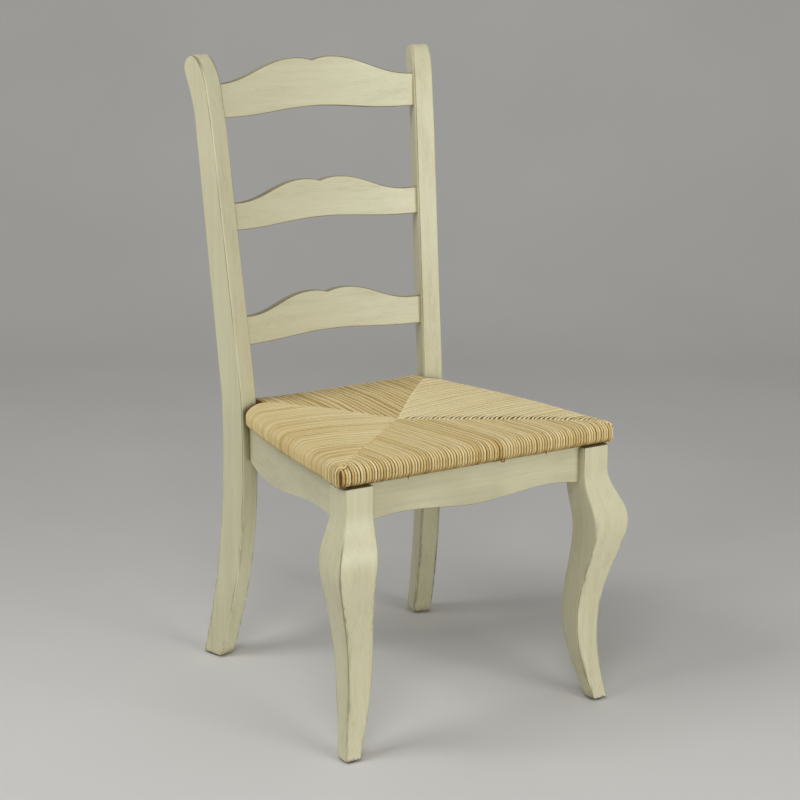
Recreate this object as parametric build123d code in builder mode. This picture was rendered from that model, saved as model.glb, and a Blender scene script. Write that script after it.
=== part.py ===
from build123d import *
from math import cos, radians, sin, tan
import os

# Side chair with a ladder back, cabriole front legs and a woven rush seat, in millimetres.
# The origin is on the floor under the middle of the chair, +Z is up and the front faces -Y.
# Left is the -X side. Left pieces are modelled, and right ones are their mirror images.

# Overall sizes
overall_width = 518.0  # across the knees of the front legs
overall_depth = 555.5  # from the knees to the scrolled tops of the posts
overall_height = 1000.0
seat_height = 457.0  # top of the rush at its front edge
seat_thickness = 36.0
seat_slope = 1.3  # degrees, down to the rear
arris_radius = 3.0  # eased long edges of posts and legs

# Rear posts, drawn from the side as depth behind the front face and height
post_width = 33.0
post_depth = 48.5  # at the seat
post_top_depth = 39.0  # where the scroll begins
post_toe_in = 16.1  # degrees that each front face is turned inward
post_spread = 382.0  # across the outer front corners
post_rake = 7.4  # degrees above the bend
post_bend_drop = 2.0  # of the bend below the top of the seat
post_bend_radius = 400.0
post_splay = 66.6  # how far the foot stands behind the front face
post_foot_depth = 40.5
post_straight = 65.0  # straight part of the back, below the bend
scroll_length = 115.0  # top of the post that rolls back
scroll_reach = 63.0  # how far the scroll goes behind the raked front line
scroll_front = [(8.5, 67.0), (23.0, 18.0), (45.7, 0.0)]  # depth past the front line, drop from the top
scroll_back = [(60.3, 32.0), (47.0, 70.0)]
scroll_nose_drop = 18.0

# Back slats
slat_thickness = 16.0
slat_set_back = 9.0  # behind the front face of the posts
slat_bow = 18.0
slat_lobe_offset = 30.0  # crests each side of the middle
slat_notch_depth = 5.0
slat_notch_radius = 1.5
slat_edge_radius = 2.0
slat_arch_start = 150.0  # from the middle, where the lower edge starts to rise
slat_tenon_thickness = 9.0
slat_tenon_length = 14.0
slat_tenon_shoulder = 6.0
top_slat_drop = 72.0  # from the top of the posts to the middle of its ends
top_slat_end = 54.0
top_slat_crest = 35.3  # above its ends
top_slat_shoulder = 182.0  # from the middle, where the upper edge starts to rise
top_slat_arch = 10.0
middle_slat_end = 44.0
middle_slat_crest = 28.8
middle_slat_shoulder = 158.0
middle_slat_arch = 8.5
lower_slat_rise = 106.2  # from the front edge of the seat to the middle of its ends
lower_slat_end = 46.5
lower_slat_crest = 28.4
lower_slat_shoulder = 155.0
lower_slat_arch = 7.3

# Front legs, drawn as distance outside the face of the square block and height
leg_block = 47.0
knee_reach = 24.2
knee_height = 300.5
knee_turn = 0.66  # a smaller part of the curve's own rate turns sooner below the knee
leg_block_height = 34.0  # on the outer side
shin_height = 191.0  # where the curve crosses the line of the block
ankle_height = 115.0
ankle_inset = 6.6
toe_reach = 6.0
foot_size = 27.0
inner_block_height = 53.0
inner_knee = 7.5  # hollow behind the knee
calf_height = 155.0
calf_reach = 1.6
heel_height = 80.0
heel_inset = 5.2
foot_chamfer = 2.0

# Aprons, with the depth of their lower edges measured down from the seat
apron_thickness = 18.0
apron_set_back = 14.0  # behind the faces of the leg blocks
apron_post_inset = 14.8  # from the outer front corner of the post
apron_edge_radius = 1.5
front_apron_end = 58.3
front_apron_crest = 52.0
front_apron_middle = 61.3
front_apron_crest_offset = 57.0  # from the leg
side_apron_front = 66.0
side_apron_crest = 58.5
side_apron_dip = 72.0
side_apron_rear = 55.5
side_apron_crest_offset = 120.0  # from the front leg
side_apron_dip_offset = 113.0  # from the post
rear_apron_depth = 56.0
rear_apron_set_back = 16.0  # behind the front face of the posts
tenon_thickness = 8.0
tenon_shoulder = 8.0
tenon_wall = 1.5  # wood left between two tenons that meet at a corner
tenon_root = 5.0  # part of a tenon that runs back inside its own piece

# Rush seat and its frame
seat_overhang = 5.0  # in front of the leg blocks
seat_side_overhang = 12.5  # outside the leg blocks
seat_side_bow = 8.5  # swell of each side between the leg and the post
seat_rear_reach = 45.0  # behind the front of the posts at their inner edge
seat_centre = 240.0  # from the front edge to where the seams meet
seat_top_radius = 10.0
seat_bottom_radius = 6.0
seat_corner_radius = 14.0
seat_dish = 10.0
seat_underside_dish = 6.0
seat_roll = 80.0  # flat top of the roll, along each seam
rush_layer = 5.0
rail_width = 55.0
rail_edge_radius = 5.0
post_gap = 1.5  # between the seat and the posts
stuffing_gap = 6.0  # round each stuffing pad
frame_dowel_diameter = 8.0
frame_dowel_length = 40.0

# Corner blocks and screws
corner_block_side = 75.0
corner_block_height = 28.0
corner_block_gap = 1.0  # round the leg
screw_diameter = 4.0
screw_head_diameter = 8.0
screw_head_height = 3.0
block_screw_length = 28.0
block_screw_bite = 12.0  # into the apron
block_screw_offset = 26.0  # from the tip of the corner block
seat_screw_length = 40.0
seat_screw_bite = 14.0  # into the rail
seat_screw_edge = 11.0  # from the edge of the rail
seat_screw_leg_inset = 20.0  # from the leg
seat_screw_post_inset = 34.0  # from the post
screw_access = 60.0  # length of the drill path behind a screw head

# Glides
glide_height = 3.0
glide_diameter = 18.0
glide_edge_radius = 1.0
glide_nail_diameter = 2.5
glide_nail_length = 16.0

# Shared places
leg_face_x = overall_width / 2 - knee_reach
leg_face_y = overall_depth / 2 - knee_reach
leg_inner_x = leg_face_x - leg_block
leg_inner_y = leg_face_y - leg_block
seat_bottom = seat_height - seat_thickness
block_bottom = seat_bottom - leg_block_height
inner_block_bottom = seat_bottom - inner_block_height
post_bend_height = seat_height - post_bend_drop
post_back_curve_top = post_bend_height - post_straight
top_slat_middle = overall_height - top_slat_drop
lower_slat_middle = seat_height + lower_slat_rise
middle_slat_middle = (top_slat_middle + lower_slat_middle) / 2
toe_sine = sin(radians(post_toe_in))
toe_cosine = cos(radians(post_toe_in))
rake_tangent = tan(radians(post_rake))
slope_tangent = tan(radians(seat_slope))
scroll_start = overall_height - scroll_length
scroll_depth = (scroll_start - post_bend_height) * rake_tangent
post_back = Vector(-toe_sine, toe_cosine, 0)  # direction in which a left post goes deeper
post_across = Vector(toe_cosine, toe_sine, 0)  # from its outer face to its inner face
post_y = overall_depth / 2 - (scroll_depth + scroll_reach) * toe_cosine - post_width * toe_sine
post_corner = Vector(-post_spread / 2, post_y, 0)
post_inner_corner = post_corner + post_across * post_width
seat_front = -leg_face_y - seat_overhang
seat_back = post_inner_corner.Y + seat_rear_reach
seat_front_half = leg_face_x + seat_side_overhang
apron_tenon_length = leg_block - apron_set_back - (apron_thickness + tenon_thickness) / 2 - tenon_wall
apron_tenon_top = seat_bottom - tenon_shoulder


def seat_level(y):
    """Height of the underside of the seat at a place along the chair."""
    return seat_bottom - (y - seat_front) * slope_tangent


def seat_run(y):
    """Distance back from the front edge of the seat, along its slope."""
    return (y - seat_front) / cos(radians(seat_slope))


# Planes that pieces are drawn on and cut to
seat_plane = Plane((0, seat_front, seat_bottom), (1, 0, 0), (0, slope_tangent, 1))
post_side = Plane(post_corner, post_back, post_across)
post_inner_face = Plane(post_inner_corner, post_back, post_across)
post_front_face = Plane(post_corner, post_across, -post_back)
right_inner_corner = Vector(-post_inner_corner.X, post_inner_corner.Y, 0)
right_inner_face = Plane(right_inner_corner, (toe_sine, toe_cosine, 0), (toe_cosine, -toe_sine, 0))
rear_joint_level = seat_level(post_corner.Y)
post_front_curve_top = rear_joint_level - max(side_apron_rear, rear_apron_depth) - tenon_shoulder

# The side apron's outer face runs from the leg to a line on the front face of the post
apron_start = Vector(-leg_face_x + apron_set_back, -leg_inner_y, 0)
apron_end = post_corner + post_across * apron_post_inset
apron_run = (apron_end - apron_start).length
apron_along = (apron_end - apron_start).normalized()
apron_inward = Vector(apron_along.Y, -apron_along.X, 0)
side_apron_face = Plane(apron_start, apron_along, apron_inward)
front_apron_y = -leg_face_y + apron_set_back
rear_apron_y = post_inner_corner.Y + rear_apron_set_back * toe_cosine
rear_tenon_depth = rear_apron_set_back + apron_thickness / 2 / toe_cosine
side_rear_tenon_length = rear_tenon_depth - tenon_thickness / 2 - tenon_wall
side_rear_tenon_across = apron_post_inset + apron_thickness / 2 / apron_inward.dot(post_across)


def peg(plane, size, place, inside, length, turn=0.0):
    """Tenon on a plane: it runs back from the plane into its own piece and forward into the mate."""
    with BuildPart() as tenon:
        with BuildSketch(plane):
            with Locations(place):
                Rectangle(*size, rotation=turn)
        extrude(amount=inside)
        with BuildSketch(plane):
            with Locations(place):
                Rectangle(*size, rotation=turn)
        extrude(amount=-length)
    return tenon.part


def screw(plane, length):
    """Screw along a plane's normal, with the underside of its head on the plane, and its drill path."""
    with BuildPart() as body:
        with BuildSketch(plane):
            Circle(screw_diameter / 2)
        extrude(amount=length)
        with BuildSketch(plane):
            Circle(screw_head_diameter / 2)
        extrude(amount=-screw_head_height)
    with BuildPart() as path:
        with BuildSketch(plane):
            Circle(screw_head_diameter / 2)
        extrude(amount=-screw_access)
    return body.part, path.part


# Tenons, which also cut their own mortises
def slat_depth(slat):
    """Depth of a slat's front face at its ends, behind the front face of the post."""
    return (slat["middle"] - post_bend_height) * rake_tangent + slat_set_back


slats = {
    "top_slat": {
        "middle": top_slat_middle, "end": top_slat_end, "crest": top_slat_crest,
        "shoulder": top_slat_shoulder, "arch": top_slat_arch,
    },
    "middle_slat": {
        "middle": middle_slat_middle, "end": middle_slat_end, "crest": middle_slat_crest,
        "shoulder": middle_slat_shoulder, "arch": middle_slat_arch,
    },
    "lower_slat": {
        "middle": lower_slat_middle, "end": lower_slat_end, "crest": lower_slat_crest,
        "shoulder": lower_slat_shoulder, "arch": lower_slat_arch,
    },
}
slat_tenons = {}
for slat_name, slat in slats.items():
    tenon_size = (slat_tenon_thickness, slat["end"] - 2 * slat_tenon_shoulder)
    tenon_place = (slat_depth(slat) + slat_thickness / 2, slat["middle"])
    slat_tenons[slat_name] = peg(
        post_inner_face, tenon_size, tenon_place, tenon_root, slat_tenon_length, -post_rake
    )

front_tenon_height = front_apron_end - 2 * tenon_shoulder
front_tenon = peg(
    Plane((-leg_inner_x, front_apron_y + apron_thickness / 2, 0), (0, 1, 0), (1, 0, 0)),
    (tenon_thickness, front_tenon_height),
    (0, apron_tenon_top - front_tenon_height / 2),
    tenon_root,
    apron_tenon_length,
)
side_tenon_height = side_apron_front - 2 * tenon_shoulder
side_front_tenon = peg(
    Plane((apron_start.X + apron_thickness / 2, -leg_inner_y, 0), (-1, 0, 0), (0, 1, 0)),
    (tenon_thickness, side_tenon_height),
    (0, apron_tenon_top - side_tenon_height / 2),
    tenon_root,
    apron_tenon_length,
)
side_rear_tenon_height = side_apron_rear - 2 * tenon_shoulder
side_rear_tenon = peg(
    post_front_face,
    (tenon_thickness, side_rear_tenon_height),
    (side_rear_tenon_across, rear_joint_level - side_apron_rear / 2),
    tenon_root,
    side_rear_tenon_length,
)
rear_tenon = peg(
    post_inner_face,
    (tenon_thickness, rear_apron_depth - 2 * tenon_shoulder),
    (rear_tenon_depth, rear_joint_level - rear_apron_depth / 2),
    tenon_root,
    slat_tenon_length,
)

# Glide nails, which also cut their own holes
front_foot = (-leg_face_x - toe_reach + foot_size / 2, -leg_face_y - toe_reach + foot_size / 2)
rear_foot_depth = post_splay + post_foot_depth / 2
rear_foot_middle = post_corner + post_back * rear_foot_depth + post_across * (post_width / 2)
rear_foot = (rear_foot_middle.X, rear_foot_middle.Y)
foot_places = {
    "front_left": front_foot,
    "front_right": (-front_foot[0], front_foot[1]),
    "rear_left": rear_foot,
    "rear_right": (-rear_foot[0], rear_foot[1]),
}
with BuildPart() as glide_nails:
    for foot_place in foot_places.values():
        with BuildSketch(Plane((*foot_place, glide_height / 2))):
            Circle(glide_nail_diameter / 2)
        extrude(amount=glide_nail_length)

# Space kept free for the posts at the rear corners of the seat
notch_reach = post_depth + seat_rear_reach
with BuildPart() as post_notches:
    with BuildSketch(Plane((post_corner.X, post_corner.Y, seat_bottom), post_across, (0, 0, 1))):
        with Locations((post_width + post_gap, -post_gap)):
            Rectangle(notch_reach, notch_reach, align=(Align.MAX, Align.MIN))
    extrude(amount=seat_height, both=True)
    mirror(about=Plane.YZ)
notch_corner = post_inner_corner + (post_across - post_back) * post_gap


def seat_point(x, y, z):
    """Place given across, back from the front edge and up from the underside of the seat."""
    return seat_plane.from_local_coords(Vector(x, y, z))


# Seat and its frame, measured across, back from the front edge and up from the underside of the seat
side_end = post_corner - post_back * post_gap
rear_end = notch_corner + post_back * ((seat_back - notch_corner.Y) / toe_cosine)
seat_depth = seat_run(seat_back)
seat_rear_half = -rear_end.X
seat_side_half = -side_end.X
seat_side_length = seat_run(side_end.Y)
seat_notch_half = -notch_corner.X
seat_taper = (seat_front_half - seat_side_half) / seat_side_length
taper_stretch = (1 + seat_taper**2) ** 0.5
rail_thickness = seat_thickness - 2 * rush_layer
front_rail_back = rush_layer + rail_width
rear_rail_front = seat_run(notch_corner.Y)
rear_rail_half = seat_notch_half - rush_layer
rear_rail_width = seat_depth - rush_layer - rear_rail_front
frame_level = seat_plane.offset(rush_layer)


def side_half(y):
    """Half of the seat's width at a distance back from the front edge, without the swell of its sides."""
    return seat_front_half - seat_taper * y


def side_swell(y):
    """Swell of the seat's sides at a distance back from the front edge."""
    return seat_side_bow * (1 - (2 * y / seat_side_length - 1) ** 2)


def frame_half(y):
    """Half of the seat frame's width."""
    return side_half(y) + side_swell(y) - rush_layer * taper_stretch


def frame_inside(y):
    """Half of the clear width between the side rails."""
    return side_half(y) - (rush_layer + rail_width) * taper_stretch


seat_corners = [
    (-seat_front_half, 0),
    (seat_front_half, 0),
    (seat_notch_half, rear_rail_front),
    (-seat_notch_half, rear_rail_front),
]
stuffing_outline = [
    (-frame_inside(front_rail_back) + stuffing_gap, front_rail_back + stuffing_gap),
    (frame_inside(front_rail_back) - stuffing_gap, front_rail_back + stuffing_gap),
    (frame_inside(rear_rail_front) - stuffing_gap, rear_rail_front - stuffing_gap),
    (-frame_inside(rear_rail_front) + stuffing_gap, rear_rail_front - stuffing_gap),
]

# Dowels, which also cut their own holes
front_dowel_gap = rail_width / 3
rear_dowel_x = (rear_rail_half + frame_inside(rear_rail_front)) / 2
dowel_places = [(rear_dowel_x, rear_rail_front)]
dowel_places += [(frame_half(front_rail_back) - n * front_dowel_gap, front_rail_back) for n in (1, 2)]
with BuildPart() as seat_frame_dowels:
    for side in (-1, 1):
        for dowel_x, dowel_y in dowel_places:
            centre = seat_point(side * dowel_x, dowel_y, seat_thickness / 2)
            with BuildSketch(Plane(centre, (1, 0, 0), seat_plane.y_dir)):
                Circle(frame_dowel_diameter / 2)
            extrude(amount=frame_dowel_length / 2, both=True)

# Corner blocks stand in the corners of the aprons and screw to them
side_inner_face = apron_start + apron_inward * apron_thickness
front_corner_y = front_apron_y + apron_thickness
front_corner = side_inner_face + apron_along * ((front_corner_y - side_inner_face.Y) / apron_along.Y)
rear_corner = side_inner_face + apron_along * ((rear_apron_y - side_inner_face.Y) / apron_along.Y)
block_levels = {"front": seat_level(front_corner.Y), "rear": seat_level(rear_corner.Y)}
block_corners = {"front": front_corner, "rear": rear_corner}
block_turns = {"front": 1, "rear": -1}  # which way the block runs along the side apron
seat_screw_places = {
    "front": (-leg_inner_x + seat_screw_leg_inset, front_rail_back - seat_screw_edge),
    "rear": (notch_corner.X + seat_screw_post_inset, rear_rail_front + seat_screw_edge),
}
seat_screw_depth = seat_screw_length - seat_screw_bite - rush_layer

block_screw_bodies = {}
block_screw_paths = {}
seat_screw_bodies = {}
seat_screw_paths = {}
for end, corner in block_corners.items():
    turn = block_turns[end]
    screw_level = Vector(0, 0, block_levels[end] - corner_block_height / 2)
    screw_run = corner_block_side - block_screw_offset
    screw_back = block_screw_length - block_screw_bite
    across_start = corner + Vector(screw_run, turn * screw_back, 0) + screw_level
    along_start = corner + apron_along * (turn * screw_run) + apron_inward * screw_back + screw_level
    across_body, across_path = screw(Plane(across_start, (1, 0, 0), (0, -turn, 0)), block_screw_length)
    along_body, along_path = screw(Plane(along_start, (0, 0, 1), -apron_inward), block_screw_length)
    block_screw_bodies[end] = [across_body, along_body]
    block_screw_paths[end] = [across_path, along_path]
    seat_x, seat_y = seat_screw_places[end]
    seat_start = seat_point(seat_x, seat_y, -seat_screw_depth)
    seat_screw_bodies[end], seat_screw_paths[end] = screw(
        Plane(seat_start, (1, 0, 0), seat_plane.z_dir), seat_screw_length
    )

with BuildPart() as corner_block_screws:
    for bodies in block_screw_bodies.values():
        add(bodies)
    mirror(about=Plane.YZ)

with BuildPart() as seat_screws:
    add(list(seat_screw_bodies.values()))
    mirror(about=Plane.YZ)

# Rear posts
with BuildPart() as rear_post_left:
    with BuildSketch(post_side) as post_outline:
        with BuildLine():
            front_foot_point = (post_splay, glide_height)
            back_foot_point = (post_splay + post_foot_depth, glide_height)
            back_rake_point = (scroll_depth + post_top_depth, scroll_start)
            front_rake_point = (scroll_depth, scroll_start)
            Line(front_foot_point, back_foot_point)
            TangentArc((post_depth, post_back_curve_top), back_foot_point, tangent=(0, -1))
            Polyline((post_depth, post_back_curve_top), (post_depth, post_bend_height), back_rake_point)
            nose = (scroll_depth + scroll_reach, overall_height - scroll_nose_drop)
            rise = [(scroll_depth + d, overall_height - drop) for d, drop in scroll_front]
            fall = [(scroll_depth + d, overall_height - drop) for d, drop in scroll_back]
            back_lean = (scroll_depth + post_top_depth - post_depth, scroll_start - post_bend_height)
            Spline(
                front_rake_point, *rise, nose, *fall, back_rake_point,
                tangents=[(rake_tangent, 1), (-back_lean[0], -back_lean[1])],
            )
            Polyline(front_rake_point, (0, post_bend_height), (0, post_front_curve_top))
            TangentArc((0, post_front_curve_top), front_foot_point, tangent=(0, -1))
        make_face()
        corners = post_outline.vertices()
        bends = [corners.sort_by_distance((depth, post_bend_height))[0] for depth in (0, post_depth)]
        fillet(bends, post_bend_radius)
    extrude(amount=post_width)
    foot_edges = rear_post_left.faces().sort_by(Axis.Z)[0].edges()
    side_faces = rear_post_left.faces().filter_by(post_side)
    fillet(side_faces.edges() - foot_edges, arris_radius)
    chamfer(rear_post_left.faces().sort_by(Axis.Z)[0].edges(), foot_chamfer)
    for slat_tenon in slat_tenons.values():
        add(slat_tenon, mode=Mode.SUBTRACT)
    add(side_rear_tenon, mode=Mode.SUBTRACT)
    add(rear_tenon, mode=Mode.SUBTRACT)
    add(glide_nails.part, mode=Mode.SUBTRACT)

with BuildPart() as rear_post_right:
    mirror(rear_post_left.part, about=Plane.YZ)


# Back slats
def slat_outline(slat, reach):
    """Front outline of a slat, with two crests and a notch above and a low arch below."""
    half_end = slat["end"] / 2
    crest = half_end + slat["crest"]
    notch = (0, crest - slat_notch_depth)
    with BuildSketch() as outline:
        with BuildLine():
            for side in (-1, 1):
                end = side * reach
                shoulder = (side * slat["shoulder"], half_end)
                lobe = (side * slat_lobe_offset, crest)
                arch = (side * slat_arch_start, -half_end)
                Polyline(arch, (end, -half_end), (end, half_end), shoulder)
                Spline(shoulder, lobe, tangents=[(-side, 0), (-side, 0)])
                TangentArc(lobe, notch, tangent=(-side, 0))
                Spline(arch, (0, slat["arch"] - half_end), tangents=[(-side, 0), (-side, 0)])
        make_face()
        fillet(outline.vertices().sort_by_distance(notch)[0], slat_notch_radius)
    return outline.sketch


slat_parts = {}
for slat_name, slat in slats.items():
    end_depth = slat_depth(slat)
    half_span = -post_inner_corner.X + end_depth * toe_sine
    slat_origin = Vector(0, post_inner_corner.Y + end_depth * toe_cosine, slat["middle"])
    slat_up = Vector(0, rake_tangent * toe_cosine, 1).normalized()
    bow_radius = (half_span**2 + slat_bow**2) / (2 * slat_bow)
    reach = half_span + slat_thickness
    with BuildPart() as slat_part:
        with BuildSketch(Plane(slat_origin, (1, 0, 0), slat_up)):
            with Locations((0, slat_bow - bow_radius)):
                Circle(bow_radius + slat_thickness)
                Circle(bow_radius, mode=Mode.SUBTRACT)
        extrude(amount=slat["end"] + slat["crest"], both=True)
        with BuildSketch(Plane(slat_origin, (1, 0, 0), Vector(1, 0, 0).cross(slat_up))):
            add(slat_outline(slat, reach))
        extrude(amount=2 * (slat_bow + slat_thickness), both=True, mode=Mode.INTERSECT)
        broad_faces = slat_part.faces().filter_by(GeomType.CYLINDER).sort_by(SortBy.AREA)[-2:]
        fillet(broad_faces.edges(), slat_edge_radius)
        split(bisect_by=post_inner_face, keep=Keep.TOP)
        split(bisect_by=right_inner_face, keep=Keep.BOTTOM)
        add(slat_tenons[slat_name])
        mirror(slat_tenons[slat_name], about=Plane.YZ)
    slat_parts[slat_name] = slat_part


# Front legs
def leg_outline(face):
    """One sawn face of a front leg, whose block has its outer face at -face."""
    inner = face - leg_block
    with BuildSketch() as outline:
        with BuildLine():
            top = seat_bottom + leg_block
            upper_knee = Spline(
                (-face, block_bottom), (-face - knee_reach, knee_height), tangents=[(0, -1), (0, -1)]
            )
            lower_knee = Spline(
                upper_knee @ 1,
                (-face, shin_height),
                (-face + ankle_inset, ankle_height),
                (-face - toe_reach, glide_height),
                tangents=[(0, -1), (-toe_reach - ankle_inset, -ankle_height / 2)],
                tangent_scalars=[knee_turn, 1],
            )
            inner_curve = Spline(
                (-inner, inner_block_bottom),
                (-inner - inner_knee, knee_height),
                (-inner + calf_reach, calf_height),
                (-inner - heel_inset, heel_height),
                (-face - toe_reach + foot_size, glide_height),
                tangents=[(0, -1), (heel_inset - (leg_block + toe_reach - foot_size), -heel_height)],
            )
            Polyline(upper_knee @ 0, (-face, top), (-inner, top), inner_curve @ 0)
            Line(lower_knee @ 1, inner_curve @ 1)
        make_face()
    return outline.sketch


with BuildPart() as front_leg_left:
    with BuildSketch(Plane.XZ):
        add(leg_outline(leg_face_x))
    extrude(amount=overall_depth, both=True)
    with BuildSketch(Plane.YZ):
        add(leg_outline(leg_face_y))
    extrude(amount=overall_width, both=True, mode=Mode.INTERSECT)
    leg_ends = front_leg_left.faces().filter_by(Plane.XY).edges()
    corners = front_leg_left.edges() - leg_ends
    fillet(corners, arris_radius)
    chamfer(front_leg_left.faces().sort_by(Axis.Z)[0].edges(), foot_chamfer)
    split(bisect_by=seat_plane, keep=Keep.BOTTOM)
    add(front_tenon, mode=Mode.SUBTRACT)
    add(side_front_tenon, mode=Mode.SUBTRACT)
    add(glide_nails.part, mode=Mode.SUBTRACT)

with BuildPart() as front_leg_right:
    mirror(front_leg_left.part, about=Plane.YZ)

# Aprons
with BuildPart() as front_apron:
    with BuildSketch(Plane((0, front_apron_y, seat_bottom), (1, 0, 0), (0, -1, 0))):
        with BuildLine():
            crest_x = leg_inner_x - front_apron_crest_offset
            low_edge = Spline(
                (-leg_inner_x, -front_apron_end),
                (-crest_x, -front_apron_crest),
                (0, -front_apron_middle),
                (crest_x, -front_apron_crest),
                (leg_inner_x, -front_apron_end),
            )
            top_corners = [(-leg_inner_x, apron_thickness), (leg_inner_x, apron_thickness)]
            Polyline(low_edge @ 0, *top_corners, low_edge @ 1)
        make_face()
    extrude(amount=-apron_thickness)
    low_face = front_apron.faces().sort_by(Axis.Z)[0]
    fillet(low_face.edges().sort_by(SortBy.LENGTH)[-2:], apron_edge_radius)
    split(bisect_by=seat_plane, keep=Keep.BOTTOM)
    add(front_tenon)
    mirror(front_tenon, about=Plane.YZ)
    add(corner_block_screws.part, mode=Mode.SUBTRACT)


def side_edge_point(along, depth):
    """Point on the lower edge of the side apron, at a depth below the seat."""
    return (along, seat_level(apron_start.Y + along * apron_along.Y) - depth)


with BuildPart() as side_apron_left:
    with BuildSketch(side_apron_face):
        with BuildLine():
            low_edge = Spline(
                side_edge_point(0, side_apron_front),
                side_edge_point(side_apron_crest_offset, side_apron_crest),
                side_edge_point(apron_run - side_apron_dip_offset, side_apron_dip),
                side_edge_point(apron_run, side_apron_rear),
            )
            front_end = -apron_thickness
            rear_end = apron_run + apron_thickness
            Polyline(
                low_edge @ 0, side_edge_point(front_end, side_apron_front), (front_end, seat_height),
                (rear_end, seat_height), side_edge_point(rear_end, side_apron_rear), low_edge @ 1,
            )
        make_face()
    extrude(amount=apron_thickness)
    split(bisect_by=Plane((0, -leg_inner_y, 0), (1, 0, 0), (0, 1, 0)), keep=Keep.TOP)
    split(bisect_by=post_front_face, keep=Keep.TOP)
    split(bisect_by=seat_plane, keep=Keep.BOTTOM)
    add(side_front_tenon)
    add(side_rear_tenon)
    add(corner_block_screws.part, mode=Mode.SUBTRACT)

with BuildPart() as side_apron_right:
    mirror(side_apron_left.part, about=Plane.YZ)

with BuildPart() as rear_apron:
    rear_apron_bottom = rear_joint_level - rear_apron_depth
    with BuildSketch(Plane((0, rear_apron_y, rear_apron_bottom), (1, 0, 0), (0, -1, 0))):
        Rectangle(post_spread, seat_height - rear_apron_bottom, align=(Align.CENTER, Align.MIN))
    extrude(amount=-apron_thickness)
    split(bisect_by=post_inner_face, keep=Keep.TOP)
    split(bisect_by=right_inner_face, keep=Keep.BOTTOM)
    split(bisect_by=seat_plane, keep=Keep.BOTTOM)
    add(rear_tenon)
    mirror(rear_tenon, about=Plane.YZ)
    add(corner_block_screws.part, mode=Mode.SUBTRACT)

# Corner blocks
block_parts = {}
for end, corner in block_corners.items():
    turn = block_turns[end]
    with BuildPart() as left_block:
        with BuildSketch(Plane((0, 0, block_levels[end] - corner_block_height))):
            with BuildLine():
                along_tip = corner + apron_along * (turn * corner_block_side)
                tips = [(corner.X + corner_block_side, corner.Y), (along_tip.X, along_tip.Y)]
                Polyline((corner.X, corner.Y), *tips, close=True)
            make_face()
        extrude(amount=2 * corner_block_height)
        split(bisect_by=seat_plane, keep=Keep.BOTTOM)
        with BuildSketch(Plane.XY):
            with Locations((-leg_inner_x + corner_block_gap, -leg_inner_y + corner_block_gap)):
                Rectangle(leg_block, leg_block, align=(Align.MAX, Align.MAX))
        extrude(amount=seat_height, mode=Mode.SUBTRACT)
        add(post_notches.part, mode=Mode.SUBTRACT)
        add(block_screw_bodies[end], mode=Mode.SUBTRACT)
        add(block_screw_paths[end], mode=Mode.SUBTRACT)
        add(seat_screw_bodies[end], mode=Mode.SUBTRACT)
        add(seat_screw_paths[end], mode=Mode.SUBTRACT)
    with BuildPart() as right_block:
        mirror(left_block.part, about=Plane.YZ)
    block_parts[f"corner_block_{end}_left"] = left_block
    block_parts[f"corner_block_{end}_right"] = right_block

# Rails of the seat frame
with BuildPart() as seat_front_rail:
    with BuildSketch(frame_level):
        with BuildLine():
            front_half = frame_half(rush_layer)
            back_half = frame_half(front_rail_back)
            Polyline(
                (-front_half, rush_layer), (front_half, rush_layer),
                (back_half, front_rail_back), (-back_half, front_rail_back), close=True,
            )
        make_face()
    extrude(amount=rail_thickness)
    fillet(seat_front_rail.edges().filter_by(Axis.X).sort_by(Axis.Y)[:2], rail_edge_radius)
    add(seat_frame_dowels.part, mode=Mode.SUBTRACT)
    add(seat_screws.part, mode=Mode.SUBTRACT)

with BuildPart() as seat_side_rail_left:
    with BuildSketch(frame_level):
        with BuildLine():
            rail_middle = (front_rail_back + rear_rail_front) / 2
            outer_front = (-frame_half(front_rail_back), front_rail_back)
            outer_middle = (-frame_half(rail_middle), rail_middle)
            outer_rear = (-frame_half(rear_rail_front), rear_rail_front)
            inner_front = (-frame_inside(front_rail_back), front_rail_back)
            inner_rear = (-frame_inside(rear_rail_front), rear_rail_front)
            ThreePointArc(outer_front, outer_middle, outer_rear)
            Polyline(outer_rear, inner_rear, inner_front, outer_front)
        make_face()
    extrude(amount=rail_thickness)
    long_edges = seat_side_rail_left.edges().sort_by(SortBy.LENGTH)[-4:]
    fillet(long_edges.sort_by(Axis.X)[:2], rail_edge_radius)
    add(post_notches.part, mode=Mode.SUBTRACT)
    add(seat_frame_dowels.part, mode=Mode.SUBTRACT)

with BuildPart() as seat_side_rail_right:
    mirror(seat_side_rail_left.part, about=Plane.YZ)

with BuildPart() as seat_rear_rail:
    with BuildSketch(frame_level):
        with Locations((0, rear_rail_front)):
            Rectangle(2 * rear_rail_half, rear_rail_width, align=(Align.CENTER, Align.MIN))
    extrude(amount=rail_thickness)
    fillet(seat_rear_rail.edges().filter_by(Axis.X).sort_by(Axis.Y)[-2:], rail_edge_radius)
    add(seat_frame_dowels.part, mode=Mode.SUBTRACT)
    add(seat_screws.part, mode=Mode.SUBTRACT)

rails = [seat_front_rail.part, seat_rear_rail.part, seat_side_rail_left.part, seat_side_rail_right.part]

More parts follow.
